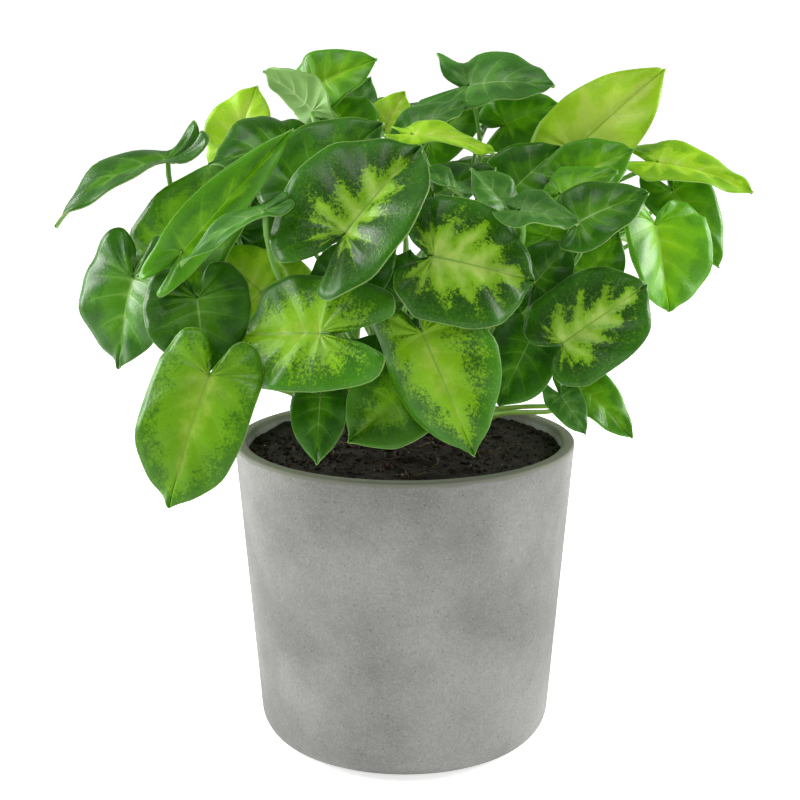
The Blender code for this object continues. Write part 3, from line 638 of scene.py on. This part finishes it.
class Blade:
    """The surface of one leaf blade.

    A point of it has a share, from 0 at the tip round the outline to 1 at the stalk, and a place across,
    from the midrib at 0 to the edges at -1 and 1.
    """

    def __init__(self, leaf, seed):
        self.leaf = leaf
        self.seed = seed
        self.stalk = Vector(leaf.stalk)
        chord = Vector(leaf.tip) - self.stalk
        self.along = chord.normalized()
        face = Vector(leaf.face)
        self.out = (face - face.dot(self.along) * self.along).normalized()
        self.aside = self.along.cross(self.out)
        self.arch = radians(leaf.arch)
        self.length = chord.length * (self.arch / 2) / sin(self.arch / 2)
        self.lobe = leaf.lobe * self.length
        self.half = leaf.width / 2

    def flat(self, share, across):
        """Distance aside from the midrib and ahead of the stalk, on the flattened blade."""
        reach = abs(across)
        edge_aside, edge_ahead = outline_at(share)
        if edge_ahead > 0:
            edge_ahead = self.length * edge_ahead ** (1 / (1 + self.leaf.full))
        else:
            edge_ahead *= self.lobe
        start = max(0, 1 - share / MIDRIB_END) ** VEIN_SLANT * self.length
        from_waist = min(1, abs(share - 0.5) / WAIST_SPAN)
        waist = 1 - self.leaf.waist[across > 0] * (0.5 + 0.5 * cos(pi * from_waist))
        return reach * edge_aside * self.half * waist, start + (edge_ahead - start) * reach**VEIN_SWEEP

    def relief(self, share, across, aside):
        """Height of the ripples, of the skin between the sunken veins, and of the ruffled edge."""
        reach = abs(across)
        height = RIPPLE_HEIGHT * reach**2 * sin(2 * pi * RIPPLE_WAVES * share + (across >= 0) * SIDE_PHASE)
        size = self.half / USUAL_HALF_WIDTH
        swell = sin(pi * SIDE_VEINS * share) ** 2 * 4 * reach * (1 - reach)
        height += size * (SWELL_HEIGHT * swell - CHANNEL_DEPTH * max(0, 1 - aside / CHANNEL_WIDTH))
        ruffle = sin(2 * pi * RUFFLE_WAVES * share + self.seed)
        return height + size * RUFFLE_HEIGHT * reach**3 * ruffle

    def point(self, share, across):
        """The point in millimetres, on the blade as it is arched, cupped and curled."""
        side = 0 if across < 0 else 1
        aside, ahead = self.flat(share, across)
        if ahead >= 0:
            bend = self.arch * ahead / self.length
            run, rise = arc_end(ahead, self.arch / 2, bend)
        else:
            bend = radians(self.leaf.lift[side]) * -ahead / self.lobe
            run, rise = arc_end(-ahead, self.arch / 2, bend)
            run, rise = -run, -rise
        slope = self.arch / 2 - bend
        upward = cos(slope) * self.out - sin(slope) * self.along
        curl = radians(self.leaf.curl[side]) * aside / self.half
        sideways, up = arc_end(aside, radians(self.leaf.cup[side]), curl)
        up += self.relief(share, across, aside)
        sign = -1 if across < 0 else 1
        return self.stalk + run * self.along + rise * self.out + sign * sideways * self.aside + up * upward


def inside_box(point):
    """The point, eased back where it comes within a few millimetres of a face of the object's box."""
    eased = []
    for value, low, high in zip(point, *CAD_BOX):
        low = low / MM + BOX_INSET
        high = high / MM - BOX_INSET
        value = low + BOX_EASE * log(1 + exp((value - low) / BOX_EASE))
        eased.append(high - BOX_EASE * log(1 + exp((high - value) / BOX_EASE)))
    return Vector(eased)


def leaf_object(leaf, sizes, materials, draw):
    """A blade with a wall; its UV map holds share and across, and its points the pale reach and a tone."""
    blade = Blade(leaf, draw.uniform(0, 2 * pi))
    bm = bmesh.new()
    bmesh.ops.create_grid(bm, x_segments=sizes.blade_rows, y_segments=2 * sizes.blade_columns, size=1)
    veins = bm.loops.layers.uv.new("veins")
    for face in bm.faces:
        for loop in face.loops:
            loop[veins].uv = ((loop.vert.co.x + 1) / 2, loop.vert.co.y)
    for vert in bm.verts:
        vert.co = inside_box(blade.point((vert.co.x + 1) / 2, vert.co.y)) * MM
    bmesh.ops.remove_doubles(bm, verts=bm.verts, dist=MERGE_DISTANCE)
    if sum((f.normal for f in bm.faces), Vector()).dot(blade.out) < 0:
        bmesh.ops.reverse_faces(bm, faces=bm.faces)
    pale = bm.verts.layers.float.new("pale")
    tone = bm.verts.layers.float.new("tone")
    shift = draw.uniform(-TONE_RANGE, TONE_RANGE)
    for vert in bm.verts:
        vert[pale] = leaf.pale
        vert[tone] = shift
    obj = new_object(f"blade_{leaf.name}", bm, materials)
    wall = obj.modifiers.new("thickness", "SOLIDIFY")
    wall.thickness = sizes.blade_thickness
    wall.offset = 0
    wall.material_offset = 1
    return obj


def stalk_route(leaf, foot):
    """Points of a leaf's stalk, from its foot in the stem to the underside of the blade."""
    blade = Blade(leaf, 0)
    arrival = END_SQUARE * blade.out + leaf.lean * blade.along + Vector((0, 0, END_UPWARD))
    arrival.normalize()
    slant = acos(max(-1, min(1, arrival.dot(blade.out))))
    end = blade.stalk - blade.out * (STALK_TIP_GAP + STALK_TIP_RADIUS * sin(slant))
    span = (end - foot).length
    outward = Vector((end.x - foot.x, end.y - foot.y, 0))
    bow = Vector((*leaf.bow, 0))
    # The two handles of a Bezier curve: one above the foot, and one that the stalk arrives from.
    rise = foot + Vector((0, 0, START_UPWARD * span)) + START_OUTWARD * outward + bow / 2
    bend = end - END_STRAIGHT * span * arrival + bow
    points = []
    for k in range(STALK_POINTS):
        t = k / (STALK_POINTS - 1)
        u = 1 - t
        points.append(u**3 * foot + 3 * u * u * t * rise + 3 * u * t * t * bend + t**3 * end)
    return points


def stalk_radius(t):
    """Radius from foot to blade: thick sheathing base, slender middle, slight knee below the blade."""
    base = SHEATH_WIDTH * max(0, 1 - t / SHEATH_SHARE) ** 1.3
    knee = KNEE_WIDTH * max(0, 1 - abs(t - KNEE_PLACE) / KNEE_SHARE)
    return STALK_WIDTH - STALK_TAPER * t + base + knee


def stem_tube(x, y, leaf_count, radius):
    """Points and radii of an upright stem that carries so many leaves and has a few ringed scars."""
    foot = SOIL_TOP - STEM_DEPTH
    top = SOIL_TOP + FIRST_LEAF_HEIGHT + LEAF_SPACING * leaf_count + STEM_ABOVE_LAST_LEAF
    points = []
    radii = []
    for k in range(STEM_STEPS + 1):
        t = k / STEM_STEPS
        points.append(Vector((x, y, foot + (top - foot) * t)))
        scar = SCAR_HEIGHT * max(0, 1 - abs((t * SCARS) % 1 - 0.5) / SCAR_WIDTH)
        radii.append(radius * (1 - STEM_TAPER * t**2) + scar)
    return points, radii


def tube_mesh(name, tubes, material, bevel_resolution=4):
    """One mesh of closed round tubes, each given as points and radii."""
    data = bpy.data.curves.new(name, "CURVE")
    data.dimensions = "3D"
    data.bevel_depth = MM
    data.bevel_resolution = bevel_resolution
    data.use_fill_caps = True
    for points, radii in tubes:
        spline = data.splines.new("POLY")
        spline.points.add(len(points) - 1)
        for target, point, radius in zip(spline.points, points, radii):
            target.co = (*(point * MM), 1)
            target.radius = radius
    curve = bpy.data.objects.new(f"{name}_curve", data)
    bpy.context.scene.collection.objects.link(curve)
    mesh = bpy.data.meshes.new_from_object(curve.evaluated_get(bpy.context.evaluated_depsgraph_get()))
    bpy.data.objects.remove(curve)
    bm = bmesh.new()
    bm.from_mesh(mesh)
    bpy.data.meshes.remove(mesh)
    bmesh.ops.remove_doubles(bm, verts=bm.verts, dist=MERGE_DISTANCE)
    bmesh.ops.recalc_face_normals(bm, faces=bm.faces)
    return new_object(name, bm, [material])


def wall_radius(height, inset=0.0):
    """Outer radius of the pot's straight wall at a height, or the radius that far inside the wall."""
    return POT_FOOT_RADIUS + height * tan(WALL_TILT) - inset / cos(WALL_TILT)


def arc_points(centre, radius, start, end, count):
    steps = (start + (end - start) * k / (count - 1) for k in range(count))
    return [(centre[0] + radius * cos(a), centre[1] + radius * sin(a)) for a in steps]


def foot_arc(floor, inset, rounding, count):
    """The rounding between a wall and the floor below it, downwards."""
    centre = (wall_radius(floor + rounding, inset + rounding), floor + rounding)
    return arc_points(centre, rounding, -WALL_TILT, -pi / 2, count)


def pot_profile(rounding):
    """The pot's section: up its inside, over the rim and down its outside."""
    top = POT_HEIGHT - rounding
    profile = [(0, POT_FLOOR)] + foot_arc(POT_FLOOR, POT_WALL, INNER_ROUNDING, INNER_POINTS)[::-1]
    inner_edge = (wall_radius(top, POT_WALL) + rounding, top)
    outer_edge = (wall_radius(top) - rounding, top)
    profile += arc_points(inner_edge, rounding, pi, pi / 2, RIM_POINTS)
    profile += arc_points(outer_edge, rounding, pi / 2, -WALL_TILT, RIM_POINTS)
    for k in range(1, WALL_STEPS):
        height = top - (top - FOOT_ROUNDING) * k / WALL_STEPS
        profile.append((wall_radius(height), height))
    return profile + foot_arc(0, 0, FOOT_ROUNDING, FOOT_POINTS) + [(0, 0)]


def soil_profile(edge):
    """The soil's section: along its top, and down beside the wall to the pot's floor."""
    floor = POT_FLOOR + SOIL_GAP
    top = [(edge * k / SOIL_RINGS, SOIL_TOP) for k in range(SOIL_RINGS + 1)]
    return top + foot_arc(floor, POT_WALL + SOIL_GAP, INNER_ROUNDING, INNER_POINTS) + [(0, floor)]


def spun(profile, steps):
    """Turn (radius, height) points about the upright axis into a closed bmesh, normals outwards."""
    bm = bmesh.new()
    verts = [bm.verts.new((r * MM, 0, z * MM)) for r, z in profile]
    edges = [bm.edges.new(pair) for pair in zip(verts, verts[1:])]
    bmesh.ops.spin(
        bm, geom=verts + edges, cent=(0, 0, 0), axis=(0, 0, 1), angle=2 * pi, steps=steps, use_merge=True
    )
    bmesh.ops.remove_doubles(bm, verts=bm.verts, dist=MERGE_DISTANCE)
    bmesh.ops.recalc_face_normals(bm, faces=bm.faces)
    return bm


def soil_height(x, y):
    """Height of the crumbled soil surface, all in millimetres."""
    place = Vector((x, y, 0))
    return SOIL_TOP + sum(height * noise.noise(place * waves) for height, waves in SOIL_RELIEF)


def scatter_lumps(name, count, sizes, material, edge, draw):
    """Flat angular lumps, turned all ways and partly sunk in the soil."""
    bm = bmesh.new()
    for _ in range(count):
        angle = draw.uniform(0, 2 * pi)
        radius = (edge - LUMP_MARGIN) * draw.random() ** 0.5
        size = draw.uniform(*sizes)
        x, y = radius * cos(angle), radius * sin(angle)
        place = Matrix.Translation(Vector((x, y, soil_height(x, y) + LUMP_RISE * size)) * MM)
        turn = Matrix.Rotation(draw.uniform(0, pi), 4, (draw.random(), draw.random(), 0.3))
        breadth = draw.uniform(0.5, 1)
        shape = Matrix.Diagonal((size * MM, size * MM * breadth, size * MM * LUMP_FLATNESS, 1))
        bmesh.ops.create_icosphere(bm, subdivisions=1, radius=1, matrix=place @ turn @ shape)
    place_piece(new_object(name, bm, [material], smooth=False), "soil")


def rootlet_tube(edge, draw):
    """Points and radii of a dry rootlet that wanders over the soil."""
    angle = draw.uniform(0, 2 * pi)
    radius = (edge - ROOTLET_MARGIN) * draw.random() ** 0.5
    x, y = radius * cos(angle), radius * sin(angle)
    heading = draw.uniform(0, 2 * pi)
    points = []
    for _ in range(draw.randint(*ROOTLET_POINTS)):
        points.append(Vector((x, y, soil_height(x, y) + draw.uniform(*ROOTLET_RISES))))
        heading += draw.uniform(-ROOTLET_TURN, ROOTLET_TURN)
        x += ROOTLET_STEP * cos(heading)
        y += ROOTLET_STEP * sin(heading)
        if Vector((x, y)).length > edge - LUMP_MARGIN:
            break
    return points, [draw.uniform(*ROOTLET_RADII)] * len(points)


def studio_floor(colour):
    """A pale matt floor, with a little light of its own so that it stays white under the pot."""
    bm = bmesh.new()
    bmesh.ops.create_grid(bm, x_segments=1, y_segments=1, size=FLOOR_HALF_WIDTH)
    material, shader, _ = new_material("Pale studio floor", Roughness=0.9, Emission_Strength=0.6)
    shader.inputs["Emission Color"].default_value = linear("#FFFFFF")
    shader.inputs["Base Color"].default_value = colour
    new_object("studio_floor", bm, [material], smooth=False)


def studio_world():
    """White near the horizon, where it meets the floor, and half as bright from 13 degrees up."""
    world = bpy.data.worlds.new("Studio white")
    world.use_nodes = True
    tree = world.node_tree
    rise = add_node(tree, "SeparateXYZ", {0: add_node(tree, "TexCoord")}, 2)
    strength = add_node(tree, "MapRange", {0: rise, 1: 0.02, 2: 0.22, 3: 1.0, 4: 0.5}, **STEP)
    tree.links.new(strength, tree.nodes["Background"].inputs["Strength"])
    tree.nodes["Background"].inputs["Color"].default_value = linear("#FFFFFF")
    return world


def add_softbox(scene, name, place, watts):
    light = bpy.data.lights.new(name, "AREA")
    light.size = SOFTBOX_WIDTH
    light.energy = watts
    lamp = bpy.data.objects.new(name, light)
    lamp.location = place
    lamp.rotation_euler = (Vector(SOFTBOX_AIM) - lamp.location).to_track_quat("-Z", "Y").to_euler()
    scene.collection.objects.link(lamp)


def add_camera(scene, distance, pitch):
    """A camera that looks down by pitch at a point beside the plant's axis, as the photograph's did."""
    data = bpy.data.cameras.new("Camera")
    data.sensor_width = SENSOR_WIDTH
    data.lens = SENSOR_WIDTH * FOCAL_LENGTH / PHOTO_WIDTH
    camera = bpy.data.objects.new("Camera", data)
    camera.location = (AIM_ASIDE * MM, -distance * cos(pitch), AIM_HEIGHT * MM + distance * sin(pitch))
    camera.rotation_euler = (pi / 2 - pitch, 0, 0)
    scene.collection.objects.link(camera)
    scene.camera = camera


def colour_property(name, description, hex_colour):
    return bpy.props.FloatVectorProperty(
        name=name, description=description, subtype="COLOR", size=4, min=0, max=1,
        default=linear(hex_colour)
    )


def length_property(name, description, default, low, high):
    """A length that is stated in millimetres here and kept in metres."""
    return bpy.props.FloatProperty(
        name=name, description=description, default=default * MM, min=low * MM, max=high * MM, unit="LENGTH"
    )


def count_property(name, description, default, low):
    return bpy.props.IntProperty(name=name, description=description, default=default, min=low)


class PlantSizes(bpy.types.PropertyGroup):
    blade_thickness: length_property("Blade thickness", "Thickness of every leaf blade", 0.5, 0.2, 1.0)
    stem_radius: length_property("Stem radius", "Radius of each shoot's stem at the soil", 2.2, 1.0, 4.0)
    stalk_radius: length_property("Stalk radius", "Radius of a leaf stalk halfway up", 1.0, 0.5, 2.0)
    rim_rounding: length_property("Rim rounding", "Radius of both edges of the pot's rim", 0.9, 0.2, 2.0)
    crumb_count: count_property("Soil crumbs", "Number of loose crumbs on the soil", 900, 0)
    blade_rows: count_property("Blade rows", "Steps round half a blade's outline", 44, 12)
    blade_columns: count_property("Blade columns", "Steps from the midrib to the edge", 9, 3)
    turn_steps: count_property("Turn steps", "Steps round the pot and the soil", 128, 24)
    camera_distance: length_property("Camera distance", "From the plant's axis to the lens", 800, 400, 9000)
    camera_pitch: bpy.props.FloatProperty(
        name="Camera pitch", description="How far the camera looks down", default=radians(13.3),
        subtype="ANGLE")


class PlantColours(bpy.types.PropertyGroup):
    underside: colour_property("Underside", "Darker shade of the leaves' undersides", "#658F44")
    stalk: colour_property("Stalk", "Upper part of every leaf stalk", "#66963A")
    sheath: colour_property("Old sheath", "Dry foot of every stem", "#2E2415")
    pot_light: colour_property("Pot, light", "Light patches of the concrete", "#848481")
    pot_dark: colour_property("Pot, dark", "Dark patches of the concrete", "#6B6B68")
    # The colour of the painted shade along the top of the rim.
    pot_rim_shade: colour_property("Pot rim", "Painted shade on the rim", "#66685B")
    soil_light: colour_property("Soil, light", "Light parts of the peat soil", "#2A221C")
    soil_dark: colour_property("Soil, dark", "Dark parts of the peat soil", "#120E0B")
    floor: colour_property("Floor", "Floor of the studio", "#F7F7F7")


for finish, look in COLOURINGS.items():
    PlantColours.__annotations__[f"{finish}_dark"] = colour_property(
        f"Leaf margin, {finish}", f"Dark part of the {finish} leaves", look.dark
    )
    PlantColours.__annotations__[f"{finish}_centre"] = colour_property(
        f"Leaf centre, {finish}", f"Light centre of the {finish} leaves", look.centre
    )


class PLANT_OT_leaves(bpy.types.Operator):
    """Make every leaf blade with its upper and lower skin"""
    bl_idname = "plant.leaves"
    bl_label = "Leaves"

    def execute(self, context):
        sizes = context.scene.plant_sizes
        colours = context.scene.plant_colours
        draw = random.Random(11)
        finishes = {}
        for name, look in COLOURINGS.items():
            chosen = {"dark": getattr(colours, f"{name}_dark"), "centre": getattr(colours, f"{name}_centre")}
            finishes[name] = leaf_material(f"Waxy {name} leaf", look._replace(**chosen))
        underside = underside_material(colours.underside)
        for name, (_, _, leaves) in SHOOTS.items():
            for leaf in leaves + INNER_LEAVES[name]:
                materials = [finishes[leaf.finish], underside]
                obj = leaf_object(leaf, sizes, materials, draw)
                place_piece(obj, "leaf", *([f"leaf_{leaf.name}"] if leaf in leaves else []))
        return {"FINISHED"}


class PLANT_OT_shoots(bpy.types.Operator):
    """Make the six shoots: a short stem each, with the stalks of its leaves"""
    bl_idname = "plant.shoots"
    bl_label = "Shoots"

    def execute(self, context):
        sizes = context.scene.plant_sizes
        material = stalk_material(context.scene.plant_colours)
        shares = [k / (STALK_POINTS - 1) for k in range(STALK_POINTS)]
        radii = [stalk_radius(share) * sizes.stalk_radius / MM for share in shares]
        for name, (x, y, leaves) in SHOOTS.items():
            leaves = leaves + INNER_LEAVES[name]
            tubes = [stem_tube(x, y, len(leaves), sizes.stem_radius / MM)]
            for order, leaf in enumerate(leaves):
                spring = Vector((x, y, SOIL_TOP + FIRST_LEAF_HEIGHT + LEAF_SPACING * order))
                tubes.append((stalk_route(leaf, spring), radii))
            place_piece(tube_mesh(f"shoot_{name}", tubes, material), "stalk", f"stalks_{name}")
        return {"FINISHED"}


class PLANT_OT_pot(bpy.types.Operator):
    """Make the concrete pot, with a face that the sanding left slightly uneven"""
    bl_idname = "plant.pot"
    bl_label = "Pot"

    def execute(self, context):
        sizes = context.scene.plant_sizes
        bm = spun(pot_profile(sizes.rim_rounding / MM), sizes.turn_steps)
        for vert in bm.verts:
            radius = Vector((vert.co.x, vert.co.y)).length
            if vert.co.z > MM and radius > POT_FOOT_RADIUS / 2 * MM:
                depth = abs(noise.noise(vert.co * UNEVEN_PER_METRE)) * UNEVEN_DEPTH * MM
                vert.co.x *= 1 - depth / radius
                vert.co.y *= 1 - depth / radius
        obj = new_object("concrete_pot", bm, [concrete_material(context.scene.plant_colours)])
        place_piece(obj, "concrete", "pot")
        return {"FINISHED"}


class PLANT_OT_soil(bpy.types.Operator):
    """Make the potting soil with its crumbs, pale grains, bark chips and dry rootlets"""
    bl_idname = "plant.soil"
    bl_label = "Potting soil"

    def execute(self, context):
        sizes = context.scene.plant_sizes
        colours = context.scene.plant_colours
        edge = wall_radius(SOIL_TOP, POT_WALL + SOIL_GAP)
        bm = spun(soil_profile(edge), sizes.turn_steps)
        for vert in bm.verts:
            if vert.co.z > (SOIL_TOP - 1) * MM:
                vert.co.z = soil_height(vert.co.x / MM, vert.co.y / MM) * MM
        peat = mottled_material("Moist peat soil", colours.soil_dark, colours.soil_light, 0.6, 0.9, 0.8)
        place_piece(new_object("peat_soil", bm, [peat]), "soil", "potting_soil")

        draw = random.Random(5)
        grain = mottled_material("Pale mineral grains", "#7F7A70", "#B9B4A8", 1.0, 0.8, 0.2)
        bark = mottled_material("Brown bark chips", "#291C13", "#44301F", 0.6, 0.85, 0.2)
        scatter_lumps("soil_crumbs", sizes.crumb_count, (0.5, 1.6), peat, edge, draw)
        scatter_lumps("pale_grains", GRAIN_COUNT, (0.25, 0.55), grain, edge, draw)
        scatter_lumps("bark_chips", BARK_COUNT, (0.7, 1.8), bark, edge, draw)
        strands = [rootlet_tube(edge, draw) for _ in range(ROOTLET_COUNT)]
        root = mottled_material("Dry rootlets", "#5C4630", "#33261A", 1.0, 0.8, 0.1)
        place_piece(tube_mesh("dry_rootlets", strands, root, 1), "soil")
        return {"FINISHED"}


class PLANT_OT_stage(bpy.types.Operator):
    """Make the pale studio floor, the soft lights and the camera"""
    bl_idname = "plant.stage"
    bl_label = "Studio"

    def execute(self, context):
        scene = context.scene
        studio_floor(scene.plant_colours.floor)
        scene.world = studio_world()
        for name, place, watts in SOFTBOXES:
            add_softbox(scene, name, place, watts)
        add_camera(scene, scene.plant_sizes.camera_distance, scene.plant_sizes.camera_pitch)
        scene.view_settings.view_transform = "Standard"
        return {"FINISHED"}


class PLANT_PT_panel(bpy.types.Panel):
    """Buttons that make each group of pieces"""
    bl_idname = "PLANT_PT_panel"
    bl_label = "Arrowhead Plant"
    bl_space_type = "VIEW_3D"
    bl_region_type = "UI"
    bl_category = "Arrowhead Plant"

    def draw(self, context):
        for group in (context.scene.plant_sizes, context.scene.plant_colours):
            for name in group.__annotations__:
                self.layout.prop(group, name)
        for operator in OPERATORS:
            self.layout.operator(operator.bl_idname)


OPERATORS = (PLANT_OT_pot, PLANT_OT_soil, PLANT_OT_shoots, PLANT_OT_leaves, PLANT_OT_stage)
CLASSES = (PlantSizes, PlantColours, *OPERATORS, PLANT_PT_panel)


def register():
    for cls in CLASSES:
        bpy.utils.register_class(cls)
    bpy.types.Scene.plant_sizes = bpy.props.PointerProperty(type=PlantSizes)
    bpy.types.Scene.plant_colours = bpy.props.PointerProperty(type=PlantColours)


def unregister():
    del bpy.types.Scene.plant_colours
    del bpy.types.Scene.plant_sizes
    for cls in reversed(CLASSES):
        bpy.utils.unregister_class(cls)


def main():
    register()
    bpy.ops.plant.pot()
    bpy.ops.plant.soil()
    bpy.ops.plant.shoots()
    bpy.ops.plant.leaves()
    bpy.ops.plant.stage()


if __name__ == "__main__":
    main()
